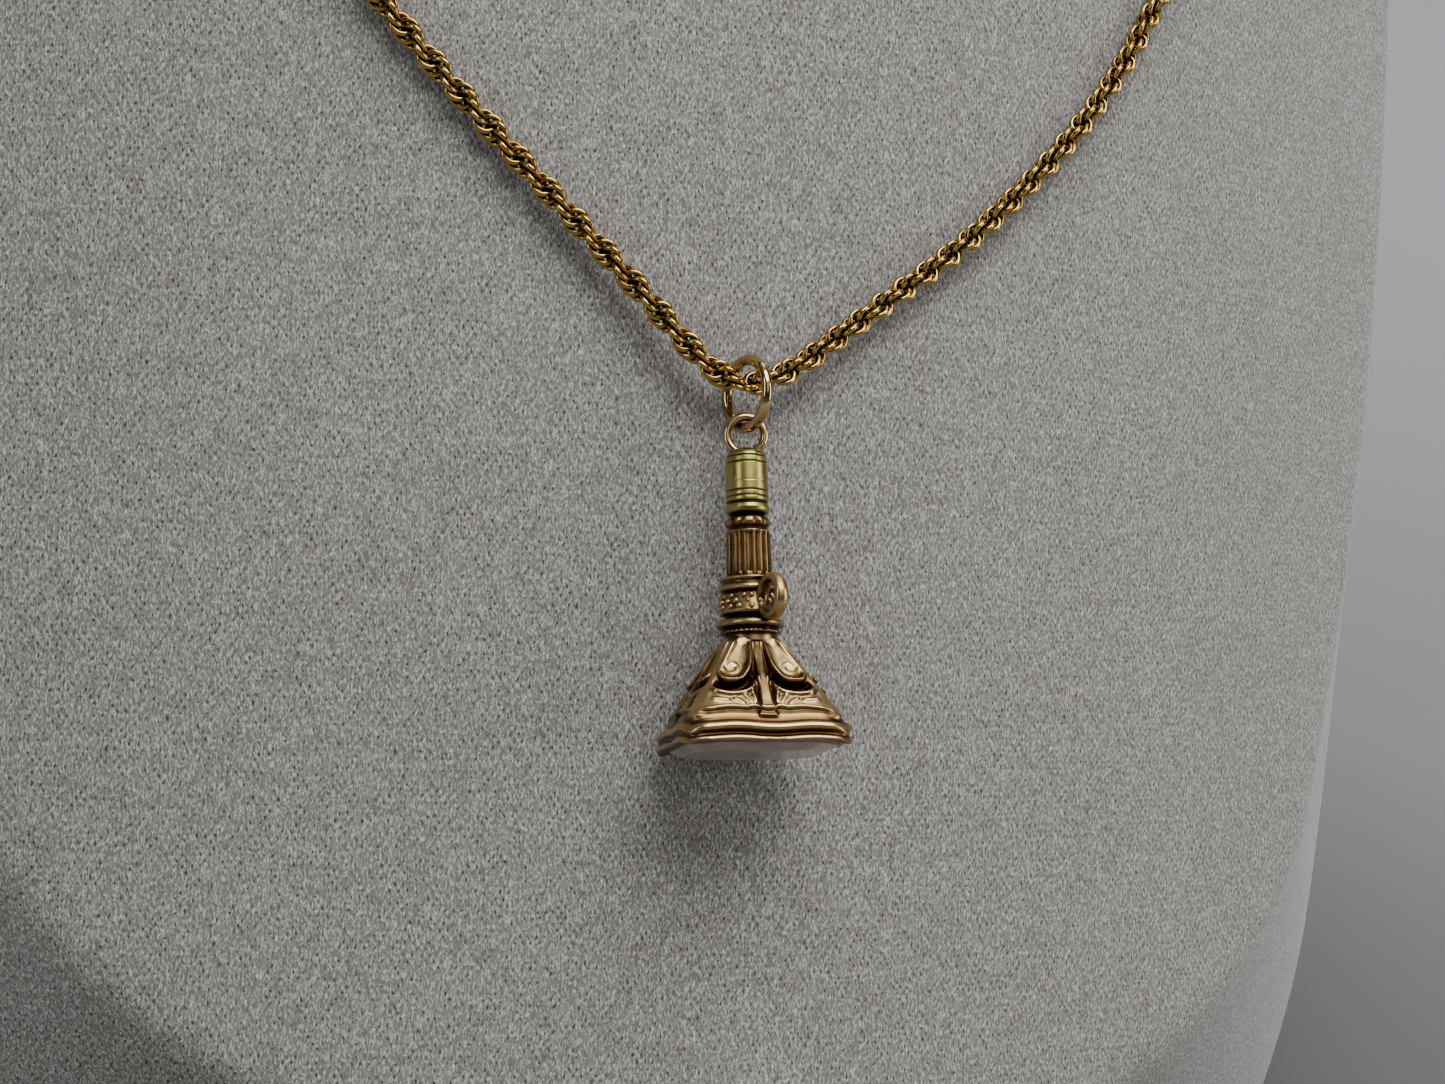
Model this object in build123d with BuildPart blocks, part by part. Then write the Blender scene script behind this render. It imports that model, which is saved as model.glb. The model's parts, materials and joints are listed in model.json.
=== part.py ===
from build123d import *
import os
from math import asin, atan2, cos, degrees, hypot, pi, radians, sin, sqrt, tan

os.makedirs("parts", exist_ok=True)

# A small antique fob seal worn as a pendant on a rope chain, on a plain neck bust.
# The bust stands on z = 0 and faces -Y. Its front leans back, and "face" is the plane of that
# leaning front, with its origin under the lowest point of the chain.

# Bust sizes
lean = 18.0
apex_height = 78.0
base_depth = 108.0
apex_setback = 2.0
front_radius = 132.0
front_cover = 1.0
flare_depth = 38.0
chest_rise = 74.0
front_width = 126.0
front_drop = 60.3
back_width = 162.0
back_drop = 111.7
neck_width = 102.0
neck_depth = 74.0
neck_corner = 34.0
neck_cover = 2.0
neck_top = 112.0
crease_round = 2.2
base_round = 1.5
top_round = 3.0

# Outlines of the chest's two sections: the radius of the round foot, the arm and the top as shares
# of the half width, the arm's height as a share of the rise, and the angle where the foot ends.
front_outline = {"foot": 0.794, "foot_end": 12.0, "arm": (1.0, 0.649), "top": 0.746}
back_outline = {"foot": 0.96, "foot_end": 8.0, "arm": (0.975, 0.649), "top": 0.675}

# Chain sizes and its route, chosen by hand: across, up the face, out from the face. Its lowest
# point hangs a little to the left of the bust's middle.
chain_aside = 5.5
chain_width = 2.1
chain_gap = 0.2
apex_gap = 0.1
arc_share = 0.45
route_right = [(0.0, 0.3, 2.7), (2.4, 0.4, 2.7), (10.1, 6.2, 1.7), (21.5, 14.6, 0.6),
               (33.6, 27.0, -1.6), (42.0, 41.2, -3.8), (51.8, 57.0, -6.9), (56.4, 66.8, -8.2),
               (58.0, 73.6, -8.5), (58.1, 77.0, -12.6), (58.1, 76.4, -19.0), (58.3, 75.6, -31.0),
               (57.9, 75.7, -47.5), (48.4, 75.6, -64.0), (32.0, 75.8, -73.4), (9.0, 76.4, -74.6)]
route_left = [(0.0, 0.3, 2.7), (-2.2, 0.4, 2.7), (-8.1, 7.0, 1.1), (-17.0, 15.6, -0.5),
              (-28.5, 27.8, -3.1), (-39.0, 42.6, -6.3), (-44.6, 57.0, -8.5), (-46.6, 66.8, -8.6),
              (-47.0, 73.6, -8.5), (-47.1, 77.0, -12.6), (-47.1, 76.4, -19.0), (-47.3, 75.6, -31.0),
              (-46.9, 75.7, -47.5), (-37.4, 75.6, -64.0), (-21.0, 75.8, -73.4), (2.0, 76.4, -74.6)]

# Clasp sizes: a cup round each end of the chain
clasp_cup = 1.3
clasp_wall = 0.85
clasp_bore_gap = 0.2
clasp_round = 0.5

# Jump ring sizes
ring_wire = 0.87
ring_width = 6.1
ring_turn = 13.0
ring_back_gap = 0.22
ring_top_gap = 0.19

# Seal sizes: widths across, and lengths down its axis from the middle of the bail's hole
seal_turn = -9.0
seal_back_gap = 0.2
bail_hole = 2.2
bail_wire = 0.66
bail_turn = -21.0
bail_gap = 0.15
cap_width = 3.3
cap_drop = 0.05
cap_length = 5.15
seat_gap = 0.05
bead_length = 1.05
column_width = 3.5
column_length = 3.7
flute_count = 12
flute_depth = 0.15
flute_radius = 0.6
flute_margin = 0.3
collar_width = 4.5
collar_length = 1.4
drum_width = 4.13
drum_flare = 0.5
drum_length = 1.65
pebble_width = 0.4
pebble_lift = 0.026
pebble_count = 16
loop_width = 3.3
loop_hole = 1.7
loop_band = 0.9
loop_turn = 7.0
loop_drop = 0.05
loop_sink = 0.365
lower_collar_width = 5.15
lower_collar_length = 1.25
step_length = 0.2
step_sink = 0.4
skirt_top_width = 3.9
skirt_top_side = 3.4
skirt_top_corner = 0.85
skirt_length = 6.2
base_width = 13.4
base_side = 11.5
base_length = 2.0
base_step = 0.62
base_rim = 0.84
base_corner = 1.3

# Cast relief sizes, on each face of the skirt
relief = 0.35
rib_width = 0.55
lobe_length = 3.9
lobe_width = 2.6
lobe_rim = 0.45
scallop_width = 1.7
scallop_count = 5
lobe_drop_share = 0.1
lobe_lean_share = 0.8
scallop_span_share = 0.8

# Stone sizes
stone_margin = 1.0
stone_thick = 1.6
stone_proud = 0.55
stone_gap = 0.06
stone_bevel = 0.8
bevel_height = 0.45
stone_corner = 1.7

back_y = base_depth / 2
apex_y = apex_setback - base_depth / 2
out_dir = Vector(0, -cos(radians(lean)), sin(radians(lean)))
up_dir = Vector(0, sin(radians(lean)), cos(radians(lean)))
across = Vector(1, 0, 0)
bust_face = Plane(origin=(0, apex_y, apex_height), x_dir=across, z_dir=out_dir)
face = Plane(origin=(-chain_aside, apex_y, apex_height), x_dir=across, z_dir=out_dir)


def on_bust(point):
    return bust_face.from_local_coords(Vector(*point))


def on_face(point):
    return face.from_local_coords(Vector(*point))


# Neck bust: a flared chest cut by a gently round front, with a column for the neck


def chest_section(plane, width, drop, outline):
    foot_radius = width / 2 * outline["foot"]
    foot_end = radians(outline["foot_end"])
    hip_x = foot_radius * cos(foot_end)
    hip_y = foot_radius - drop - foot_radius * sin(foot_end)
    arm = (width / 2 * outline["arm"][0], chest_rise * outline["arm"][1])
    top_x = width / 2 * outline["top"]
    with BuildSketch(plane) as section:
        with BuildLine():
            ThreePointArc((-hip_x, hip_y), (0, -drop), (hip_x, hip_y))
            side = TangentArc((hip_x, hip_y), arm, tangent=(sin(foot_end), cos(foot_end)))
            shoulder = TangentArc(arm, (top_x, chest_rise), tangent=side % 1)
            Line((top_x, chest_rise), (-top_x, chest_rise))
            mirror(side, about=Plane.YZ)
            mirror(shoulder, about=Plane.YZ)
        make_face()
    return section.sketch


front_axis = Plane(origin=on_bust((0, 0, -front_radius)), x_dir=across, z_dir=up_dir)
neck_plane = Plane(origin=on_bust((0, 0, neck_cover - neck_depth / 2)), x_dir=across, z_dir=up_dir)
neck_round = min(neck_corner, neck_depth / 2 - neck_cover)
with BuildPart() as neck_bust:
    front_section = chest_section(bust_face.offset(front_cover), front_width, front_drop, front_outline)
    back_section = chest_section(bust_face.offset(-flare_depth), back_width, back_drop, back_outline)
    loft([front_section, back_section], ruled=True)
    extrude(back_section, amount=-base_depth)
    with BuildSketch(neck_plane):
        RectangleRounded(neck_width, neck_depth, neck_round)
    extrude(amount=neck_top)
    with BuildSketch(front_axis.offset(-2 * apex_height)):
        Circle(front_radius)
    extrude(amount=4 * apex_height, mode=Mode.INTERSECT)
    fillet(neck_bust.faces().sort_by(Axis(bust_face.origin, up_dir))[-1].edges(), top_round)
    split(bisect_by=Plane.XY, keep=Keep.TOP)
    split(bisect_by=Plane.XZ.offset(-back_y), keep=Keep.TOP)
    front_skin = neck_bust.faces().filter_by(GeomType.CYLINDER).sort_by(SortBy.AREA)[-1]
    arm_level = on_bust((0, chest_rise * front_outline["arm"][1], 0)).Z
    fillet(front_skin.edges().filter_by(lambda edge: edge.center().Z < arm_level), crease_round)
    fillet(neck_bust.faces().filter_by(GeomType.PLANE).sort_by(Axis.Z)[0].edges(), base_round)
neck_bust.part.label = "neck_bust"
export_step(neck_bust.part, "parts/neck_bust.step")


# Rope chain: a round tube on each side, from the jump ring up the face and round the neck


def corner_radii(points):
    runs = [after - before for before, after in zip(points, points[1:])]
    spans = [run.length for run in runs]
    # The first run goes on as far on the other side of the jump ring
    spans[0] = 2 * spans[0]
    radii = []
    for place in range(1, len(runs)):
        half_turn = radians(runs[place - 1].get_angle(runs[place])) / 2
        radii.append(arc_share * min(spans[place - 1], spans[place]) / tan(half_turn))
    return radii


def chain_half(route, side):
    points = [on_face(row) for row in route]
    points[0] = points[0] + across * side * apex_gap
    radii = corner_radii(points)
    with BuildPart() as strand:
        with BuildLine() as path:
            FilletPolyline(*points, radius=radii)
        with BuildSketch(Plane(origin=path.line @ 0, z_dir=path.line % 0)):
            Circle(chain_width / 2)
        sweep()
    length = sum(edge.length for edge in path.edges())
    volume_width = sqrt(4 * strand.part.volume / (pi * length))
    print("chain side", side, "length", round(length, 1), "width from volume", round(volume_width, 3))
    print("arc radii", [round(radius, 1) for radius in radii])
    return strand.part


with BuildPart() as chain_right:
    add(chain_half(route_right, 1))
chain_right.part.label = "chain_right"
export_step(chain_right.part, "parts/chain_right.step")

with BuildPart() as chain_left:
    add(chain_half(route_left, -1))
chain_left.part.label = "chain_left"
export_step(chain_left.part, "parts/chain_left.step")


# Jump ring: one round wire loop. The chain runs through its top, and its back stays off the bust.

chain_up, chain_out = route_right[0][1:]
ring_radius = (ring_width - ring_wire) / 2
ring_out = ring_back_gap + ring_width / 2 * cos(radians(ring_turn))
ring_reach = ring_width / 2 - ring_wire - chain_width / 2 - ring_top_gap
ring_drop = sqrt(ring_reach ** 2 - ((ring_out - chain_out) * cos(radians(ring_turn))) ** 2)
ring_centre = on_face((0, chain_up - ring_drop, ring_out))
ring_along = across * sin(radians(ring_turn)) + out_dir * cos(radians(ring_turn))
with BuildPart() as jump_ring:
    with BuildSketch(Plane(origin=ring_centre + ring_along * ring_radius, x_dir=ring_along, z_dir=up_dir)):
        Circle(ring_wire / 2)
    revolve(axis=Axis(ring_centre, ring_along.cross(up_dir)))
jump_ring.part.label = "jump_ring"
export_step(jump_ring.part, "parts/jump_ring.step")


# Seal: levels down its axis from the middle of the bail's hole, which hangs in the ring's foot

cap_start = bail_hole / 2 + cap_drop
cap_end = cap_start + cap_length
bead_start = cap_end + seat_gap
bead_end = bead_start + bead_length
column_end = bead_end + column_length
collar_end = column_end + collar_length
drum_end = collar_end + drum_length
lower_collar_end = drum_end + lower_collar_length
skirt_start = lower_collar_end + step_length
skirt_end = skirt_start + skirt_length
rim_start = skirt_end + base_length - base_rim
base_end = skirt_end + base_length
skirt_width = base_width - 2 * base_step
skirt_side = base_side - 2 * base_step

# The seal hangs forward just enough for the back edge of its base rim to clear the bust
turn_in = radians(abs(seal_turn))
bail_below = bail_hole / 2 - ring_wire / 2 - bail_gap
rim_below = bail_below + rim_start
rim_back = ((base_width / 2 - base_corner) * sin(turn_in)
            + (base_side / 2 - base_corner) * cos(turn_in) + base_corner)
seal_tilt = (atan2(rim_back, rim_below)
             - asin((ring_out - seal_back_gap) / hypot(rim_back, rim_below)))
seal_down = out_dir * sin(seal_tilt) - up_dir * cos(seal_tilt)
bail_centre = ring_centre - up_dir * ring_radius + seal_down * bail_below
seal_frame = Plane(origin=bail_centre, x_dir=across, z_dir=seal_down * -1)


def spun(turn):
    angle = radians(turn)
    side = seal_frame.x_dir * cos(angle) + seal_frame.y_dir * sin(angle)
    return Plane(origin=bail_centre, x_dir=side, z_dir=seal_frame.z_dir)


seal_front = spun(seal_turn)
seal_axis = Axis(bail_centre, seal_frame.z_dir)
half_view = Plane(origin=bail_centre, x_dir=seal_front.x_dir, z_dir=seal_front.y_dir * -1)


def level(down):
    return seal_front.offset(-down)


def turned(start, end, width, rows):
    radius = width / 2
    length = end - start
    with BuildSketch(half_view) as profile:
        with BuildLine():
            here = (0, -start)
            for down, out, bulge in rows:
                there = (out * radius, -start - down * length)
                if bulge:
                    middle = ((here[0] + there[0]) / 2 + bulge * radius, (here[1] + there[1]) / 2)
                    ThreePointArc(here, middle, there)
                else:
                    Line(here, there)
                here = there
            Line(here, (0, -end))
            Line((0, -end), (0, -start))
        make_face()
    return profile.sketch


# Columns: share of the length down, share of the radius out, share of the radius as a bulge
cap_rows = [(0.0, 0.78, 0), (0.14, 0.95, 0.05), (0.17, 0.87, 0), (0.2, 0.87, 0),
            (0.26, 0.89, 0.06), (0.29, 0.97, 0), (0.61, 0.98, 0), (0.64, 0.9, 0), (0.68, 0.9, 0),
            (0.74, 0.89, 0.07), (0.81, 0.86, 0), (0.9, 0.9, 0.1), (0.92, 0.92, 0), (1.0, 0.88, 0.12)]
bead_rows = [(0.0, 0.84, 0), (0.86, 0.84, 0.14), (1.0, 0.84, 0)]
column_rows = [(0.0, 0.92, 0), (0.06, 0.98, 0), (0.94, 0.98, 0.02), (1.0, 0.94, 0)]
collar_rows = [(0.0, 0.9, 0), (0.45, 0.93, 0.07), (0.55, 0.93, 0), (1.0, 0.93, 0.06)]
drum_rows = [(0.0, 1.0, 0), (1.0, 1.0 + drum_flare / drum_width, 0)]
lower_collar_rows = [(0.0, 0.93, 0), (0.3, 1.0, 0), (0.75, 1.0, 0), (1.0, 0.9, 0)]
step_rows = [(0.0, 1.0, 0), (1.0, 0.85, 0)]

# Rows of pebbles round the drum, as shares of its length down
pebble_rows = (0.3, 0.72)

# Bands between the skirt and the base rim, as shares of their height, from and to, and of the step
base_bands = [(0.0, 0.345, 0.7), (0.345, 0.862, 0.25), (0.862, 1.0, 0.6)]

bail_along = spun(bail_turn)
bail_middle = (bail_hole + bail_wire) / 2
bail_section = Plane(origin=bail_centre + bail_along.x_dir * bail_middle, x_dir=bail_along.x_dir,
                     z_dir=seal_frame.z_dir)
with BuildPart() as seal_cap:
    revolve(turned(cap_start, cap_end, cap_width, cap_rows), axis=seal_axis)
    with BuildSketch(bail_section):
        Circle(bail_wire / 2)
    revolve(axis=Axis(bail_centre, bail_along.y_dir))
seal_cap.part.label = "seal_cap"
export_step(seal_cap.part, "parts/seal_cap.step")


def skirt_relief(turn):
    if turn % 180 == 0:
        wide, narrow, reach, top_reach = skirt_width, skirt_top_width, skirt_side, skirt_top_side
    else:
        wide, narrow, reach, top_reach = skirt_side, skirt_top_side, skirt_width, skirt_top_width
    side_level = spun(seal_turn + turn)
    outward = side_level.y_dir * -1
    run = (reach - top_reach) / 2
    middle = (bail_centre + seal_down * (skirt_start + skirt_length / 2)
              + outward * (reach + top_reach) / 4)
    slope = (outward * run + seal_down * skirt_length).normalized()
    skirt_face = Plane(origin=middle, x_dir=side_level.x_dir, z_dir=side_level.x_dir.cross(slope * -1))
    half_slope = hypot(skirt_length, run) / 2
    lobe_lean = lobe_lean_share * degrees(atan2((wide - narrow) / 2, 2 * half_slope))
    lobe_out = (wide + narrow) / 8
    lobe_low = -lobe_drop_share * half_slope
    scallop_level = scallop_width / 4 - half_slope
    with BuildSketch(skirt_face.offset(-relief)) as raised:
        Rectangle(rib_width, 2 * half_slope)
        with Locations((lobe_out, 0), (-lobe_out, 0)):
            Circle(rib_width / 2)
        for side in (-1, 1):
            with Locations(Location((side * lobe_out, lobe_low, 0), (0, 0, side * lobe_lean))):
                Ellipse(lobe_width / 2, lobe_length / 2)
                Ellipse(lobe_width / 2 - lobe_rim, lobe_length / 2 - lobe_rim, mode=Mode.SUBTRACT)
        with Locations((0, scallop_level)):
            with GridLocations(wide * scallop_span_share / scallop_count, 0, scallop_count, 1):
                Circle(scallop_width / 2 * wide / skirt_width)
    return raised.sketch


with BuildPart() as seal_body:
    revolve(turned(bead_start, bead_end, cap_width, bead_rows), axis=seal_axis)
    revolve(turned(bead_end, column_end, column_width, column_rows), axis=seal_axis)
    revolve(turned(column_end, collar_end, collar_width, collar_rows), axis=seal_axis)
    revolve(turned(collar_end, drum_end, drum_width, drum_rows), axis=seal_axis)
    revolve(turned(drum_end, lower_collar_end, lower_collar_width, lower_collar_rows), axis=seal_axis)
    revolve(turned(lower_collar_end, skirt_start + step_sink, collar_width, step_rows), axis=seal_axis)

    # Flutes round the column
    flute_out = column_width / 2 - flute_depth + flute_radius
    with BuildSketch(level(bead_end + flute_margin)):
        with PolarLocations(flute_out, flute_count):
            Circle(flute_radius)
    extrude(amount=2 * flute_margin - column_length, mode=Mode.SUBTRACT)

    # Pebbles round the drum
    for share in pebble_rows:
        pebble_out = (drum_width + share * drum_flare) / 2 + pebble_lift
        with Locations(level(collar_end + share * drum_length).location):
            with PolarLocations(pebble_out, pebble_count):
                Sphere(pebble_width / 2)

    # Side loop: a thick ring soldered on edge under the collar
    loop_level = spun(loop_turn).offset(-collar_end - loop_drop)
    loop_out = loop_level.y_dir * -1
    loop_centre = loop_level.origin + loop_out * ((drum_width + loop_width) / 2 - loop_sink)
    with BuildSketch(Plane(origin=loop_centre, x_dir=loop_out, z_dir=loop_level.x_dir)):
        Circle(loop_width / 2)
        Circle(loop_hole / 2, mode=Mode.SUBTRACT)
    extrude(amount=loop_band / 2, both=True)

    # Skirt: a four-sided pyramid, then a stepped base whose rim is widest
    with BuildSketch(level(skirt_start)) as top_section:
        RectangleRounded(skirt_top_width, skirt_top_side, skirt_top_corner)
    with BuildSketch(level(skirt_end)) as low_section:
        RectangleRounded(skirt_width, skirt_side, base_corner)
    loft([top_section.sketch, low_section.sketch], ruled=True)
    band_height = rim_start - skirt_end
    for upper, lower, inset in base_bands:
        with BuildSketch(level(skirt_end + upper * band_height)):
            RectangleRounded(base_width - 2 * inset * base_step, base_side - 2 * inset * base_step,
                             base_corner)
        extrude(amount=(upper - lower) * band_height)
    with BuildSketch(level(rim_start)):
        RectangleRounded(base_width, base_side, base_corner)
    extrude(amount=-base_rim)

    # Cast relief: on each face a middle rib, two rimmed lobes with a boss and a row of scallops
    for turn in (0, 90, 180, 270):
        extrude(skirt_relief(turn), amount=2 * relief)

    # Pocket for the stone
    stone_width = base_width - 2 * stone_margin
    stone_side = base_side - 2 * stone_margin
    with BuildSketch(level(base_end)) as pocket:
        Rectangle(stone_width + 2 * stone_gap, stone_side + 2 * stone_gap)
        chamfer(pocket.vertices(), stone_corner)
    extrude(amount=stone_thick - stone_proud + stone_gap, mode=Mode.SUBTRACT)
seal_body.part.label = "seal_body"
export_step(seal_body.part, "parts/seal_body.step")


# Stone: a flat tablet with cut corners and a bevel round its face


def tablet(down, inset):
    with BuildSketch(level(down)) as outline:
        Rectangle(stone_width - 2 * inset, stone_side - 2 * inset)
        chamfer(outline.vertices(), stone_corner)
    return outline.sketch


stone_face = base_end + stone_proud
with BuildPart() as seal_stone:
    loft([tablet(stone_face - stone_thick, 0), tablet(stone_face - bevel_height, 0)], ruled=True)
    loft([tablet(stone_face - bevel_height, 0), tablet(stone_face, stone_bevel)], ruled=True)
seal_stone.part.label = "seal_stone"
export_step(seal_stone.part, "parts/seal_stone.step")


# Clasp: one plain barrel at the back of the neck, with a cup for each end of the chain

right_end = on_face(route_right[-1])
left_end = on_face(route_left[-1])
cup_floor = (right_end - left_end).length / 2 - chain_gap
clasp_centre = (right_end + left_end) / 2
clasp_width = chain_width + 2 * (clasp_bore_gap + clasp_wall)
with BuildPart() as clasp:
    with BuildSketch(Plane(origin=clasp_centre, x_dir=(0, 1, 0), z_dir=across)):
        Circle(clasp_width / 2)
    extrude(amount=cup_floor + clasp_cup, both=True)
    fillet(clasp.edges().filter_by(GeomType.CIRCLE), clasp_round)
    for side in (-1, 1):
        with BuildSketch(Plane(origin=clasp_centre + across * side * cup_floor, x_dir=(0, 1, 0),
                               z_dir=across * side)):
            Circle(chain_width / 2 + clasp_bore_gap)
        extrude(amount=2 * clasp_cup, mode=Mode.SUBTRACT)
clasp.part.label = "clasp"
export_step(clasp.part, "parts/clasp.step")
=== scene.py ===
import json
from math import cos, hypot, pi, radians, sin, sqrt

import bpy
import numpy as np
from mathutils import Matrix, Vector


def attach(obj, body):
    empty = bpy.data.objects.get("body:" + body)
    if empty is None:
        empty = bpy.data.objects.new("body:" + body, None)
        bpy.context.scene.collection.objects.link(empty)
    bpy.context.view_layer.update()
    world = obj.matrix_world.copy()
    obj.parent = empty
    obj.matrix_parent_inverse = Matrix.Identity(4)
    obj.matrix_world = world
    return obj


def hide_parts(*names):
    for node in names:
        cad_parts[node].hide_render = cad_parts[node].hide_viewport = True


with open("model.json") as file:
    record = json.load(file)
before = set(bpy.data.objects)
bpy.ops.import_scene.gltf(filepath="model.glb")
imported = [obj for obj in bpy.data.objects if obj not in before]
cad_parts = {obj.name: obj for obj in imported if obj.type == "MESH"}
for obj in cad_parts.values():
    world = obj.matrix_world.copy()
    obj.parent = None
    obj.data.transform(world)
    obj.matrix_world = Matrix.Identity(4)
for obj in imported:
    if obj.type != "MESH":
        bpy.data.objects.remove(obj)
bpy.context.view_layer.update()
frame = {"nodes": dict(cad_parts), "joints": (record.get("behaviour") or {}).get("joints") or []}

MM = 0.001
NODES = frame["nodes"]
JOINTS = {joint["name"]: joint for joint in frame["joints"]}
random = np.random.default_rng(7)

# The bust's leaning front: its frame has its origin under the lowest point of the chain
LEAN = radians(18)
FACE = Vector((-5.5 * MM, -52 * MM, 78 * MM))
ACROSS = Vector((1, 0, 0))
UP = Vector((0, sin(LEAN), cos(LEAN)))
OUT = Vector((0, -cos(LEAN), sin(LEAN)))


def on_face(across, up, out):
    return FACE + MM * (across * ACROSS + up * UP + out * OUT)


# Camera, placed from the face: it stands to the left, a little below the front's own level.
# Its target and distance are in millimetres
IMAGE_WIDTH = 1445
VIEW_AZIMUTH = radians(21.85)
VIEW_BELOW = radians(2.5)
VIEW_ROLL = radians(2.0)
VIEW_DISTANCE = 182.3
VIEW_TARGET = (0.6, -11.6, -2.2)
FOCAL_PIXELS = 2333
SENSOR = 36.0
NEAREST_VIEW = 10 * MM


def add_camera():
    back = (-sin(VIEW_AZIMUTH) * cos(VIEW_BELOW) * ACROSS - sin(VIEW_BELOW) * UP
            + cos(VIEW_AZIMUTH) * cos(VIEW_BELOW) * OUT)
    level = cos(VIEW_AZIMUTH) * ACROSS + sin(VIEW_AZIMUTH) * OUT
    over = back.cross(level)
    right = cos(VIEW_ROLL) * level + sin(VIEW_ROLL) * over
    top = back.cross(right)
    data = bpy.data.cameras.new("camera")
    data.sensor_width = SENSOR
    data.lens = FOCAL_PIXELS / IMAGE_WIDTH * SENSOR
    data.clip_start = NEAREST_VIEW
    camera = new_object("camera", data)
    camera.matrix_world = Matrix((right, top, back)).transposed().to_4x4()
    camera.location = on_face(*VIEW_TARGET) + VIEW_DISTANCE * MM * back
    bpy.context.scene.camera = camera


# Objects and meshes


def new_object(name, data):
    made = bpy.data.objects.new(name, data)
    bpy.context.scene.collection.objects.link(made)
    return made


def smooth_mesh(name, vertices, faces, material):
    mesh = bpy.data.meshes.new(name)
    mesh.from_pydata([tuple(v) for v in vertices], [], faces)
    mesh.polygons.foreach_set("use_smooth", [True] * len(mesh.polygons))
    mesh.materials.append(material)
    mesh.validate()
    mesh.update()
    return mesh


def final_mesh(thing):
    """The mesh of an object with its modifiers applied, or of a curve."""
    bpy.context.view_layer.update()
    return bpy.data.meshes.new_from_object(thing.evaluated_get(bpy.context.evaluated_depsgraph_get()))


def grid_faces(rows, columns, first, wrap_rows):
    faces = []
    for row in range(rows if wrap_rows else rows - 1):
        after = (row + 1) % rows
        for column in range(columns):
            beside = (column + 1) % columns
            faces.append((first + row * columns + column, first + row * columns + beside,
                          first + after * columns + beside, first + after * columns + column))
    return faces


class Shape:
    """Vertices and faces of one piece, gathered from several closed surfaces, with the patina and
    painted shade that darken each vertex."""

    def __init__(self):
        self.vertices = []
        self.faces = []
        self.patina_and_shade = []

    def add_grid(self, points, wrap_rows=False, start_cap=False, end_cap=False, patina_and_shade=0.0):
        """points is rows x columns x 3; the columns always close on themselves."""
        rows, columns = points.shape[:2]
        first = len(self.vertices)
        self.vertices.extend(points.reshape(-1, 3))
        self.patina_and_shade.extend(np.broadcast_to(patina_and_shade, (rows, columns)).ravel())
        self.faces.extend(grid_faces(rows, columns, first, wrap_rows))
        if start_cap:
            self.faces.append(tuple(range(first + columns - 1, first - 1, -1)))
        if end_cap:
            last = first + (rows - 1) * columns
            self.faces.append(tuple(range(last, last + columns)))

    def piece(self, name, material, body, slot):
        piece = new_object(name, smooth_mesh(name, self.vertices, self.faces, material))
        layer = piece.data.attributes.new("patina_and_shade", "FLOAT", "POINT")
        layer.data.foreach_set("value", self.patina_and_shade)
        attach(piece, body)
        return piece


def recess(height, rows, columns, depth):
    """How far each place lies below the highest one within some rows and columns, up to 1 at depth."""
    top = height.copy()
    for shift in range(1, rows + 1):
        top[shift:] = np.maximum(top[shift:], height[:-shift])
        top[:-shift] = np.maximum(top[:-shift], height[shift:])
    highest = top.copy()
    for shift in range(-columns, columns + 1):
        highest = np.maximum(highest, np.roll(top, shift, axis=1))
    return np.clip((highest - height) / depth, 0, 1)


def turn(count):
    return np.arange(count) * 2 * pi / count


def ring_points(centre, along, side, radius, wire, around, section, flat=1.0):
    """A round loop of wire in the plane of along and side. flat is its height over its thickness."""
    centre, along, side = (np.array(v) for v in (centre, along, side))
    normal = np.cross(along, side)
    angle = turn(around)[:, None, None]
    spin = turn(section)[None, :, None]
    radial = np.cos(angle) * along + np.sin(angle) * side
    return centre + (radius + wire / 2 * np.cos(spin)) * radial + wire / 2 * flat * np.sin(spin) * normal


# Materials


BUMP_STRENGTH = 0.6


class Graph:
    """Nodes of one material or of the world. An input is given a plain value, or the output of
    another node to follow."""

    def __init__(self, tree):
        self.nodes = tree.nodes
        self.links = tree.links

    def feed(self, node, inputs):
        for name, value in inputs.items():
            socket = node.inputs[name]
            if isinstance(value, bpy.types.NodeSocket):
                self.links.new(value, socket)
            elif socket.type == "RGBA":
                socket.default_value = (*value, 1)
            else:
                socket.default_value = value

    def add(self, kind, inputs, **settings):
        node = self.nodes.new(kind)
        for name, value in settings.items():
            setattr(node, name, value)
        self.feed(node, inputs)
        return node

    def place(self):
        return self.add("ShaderNodeTexCoord", {}).outputs["Object"]

    def axes(self, vector):
        return self.add("ShaderNodeSeparateXYZ", {0: vector}).outputs

    def ramp(self, share, stops):
        """Colour by share, from stops of a position and a colour."""
        node = self.add("ShaderNodeValToRGB", {"Fac": share})
        elements = node.color_ramp.elements
        for count, (position, color) in enumerate(stops):
            element = elements[count] if count < 2 else elements.new(position)
            element.position = position
            element.color = (*color, 1)
        return node.outputs["Color"]

    def noise(self, vector, scale, detail, rough=0.5, output="Fac"):
        inputs = {"Vector": vector, "Scale": scale, "Detail": detail, "Roughness": rough}
        return self.add("ShaderNodeTexNoise", inputs).outputs[output]

    def math(self, operation, first, second=None, clamp=False):
        inputs = {0: first} if second is None else {0: first, 1: second}
        return self.add("ShaderNodeMath", inputs, operation=operation, use_clamp=clamp).outputs[0]

    def span(self, value, given, wanted=(0.0, 1.0)):
        """The value taken from the given range to the wanted one."""
        inputs = {"Value": value, "From Min": given[0], "From Max": given[1],
                  "To Min": wanted[0], "To Max": wanted[1]}
        return self.add("ShaderNodeMapRange", inputs).outputs["Result"]

    def mix(self, factor, first, second, blend="MIX"):
        inputs = {"Factor": factor, "A": first, "B": second}
        return self.add("ShaderNodeMix", inputs, data_type="RGBA", blend_type=blend).outputs["Result"]

    def bump(self, shader, height, distance):
        inputs = {"Height": height, "Distance": distance, "Strength": BUMP_STRENGTH}
        self.feed(shader, {"Normal": self.add("ShaderNodeBump", inputs).outputs["Normal"]})


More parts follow.
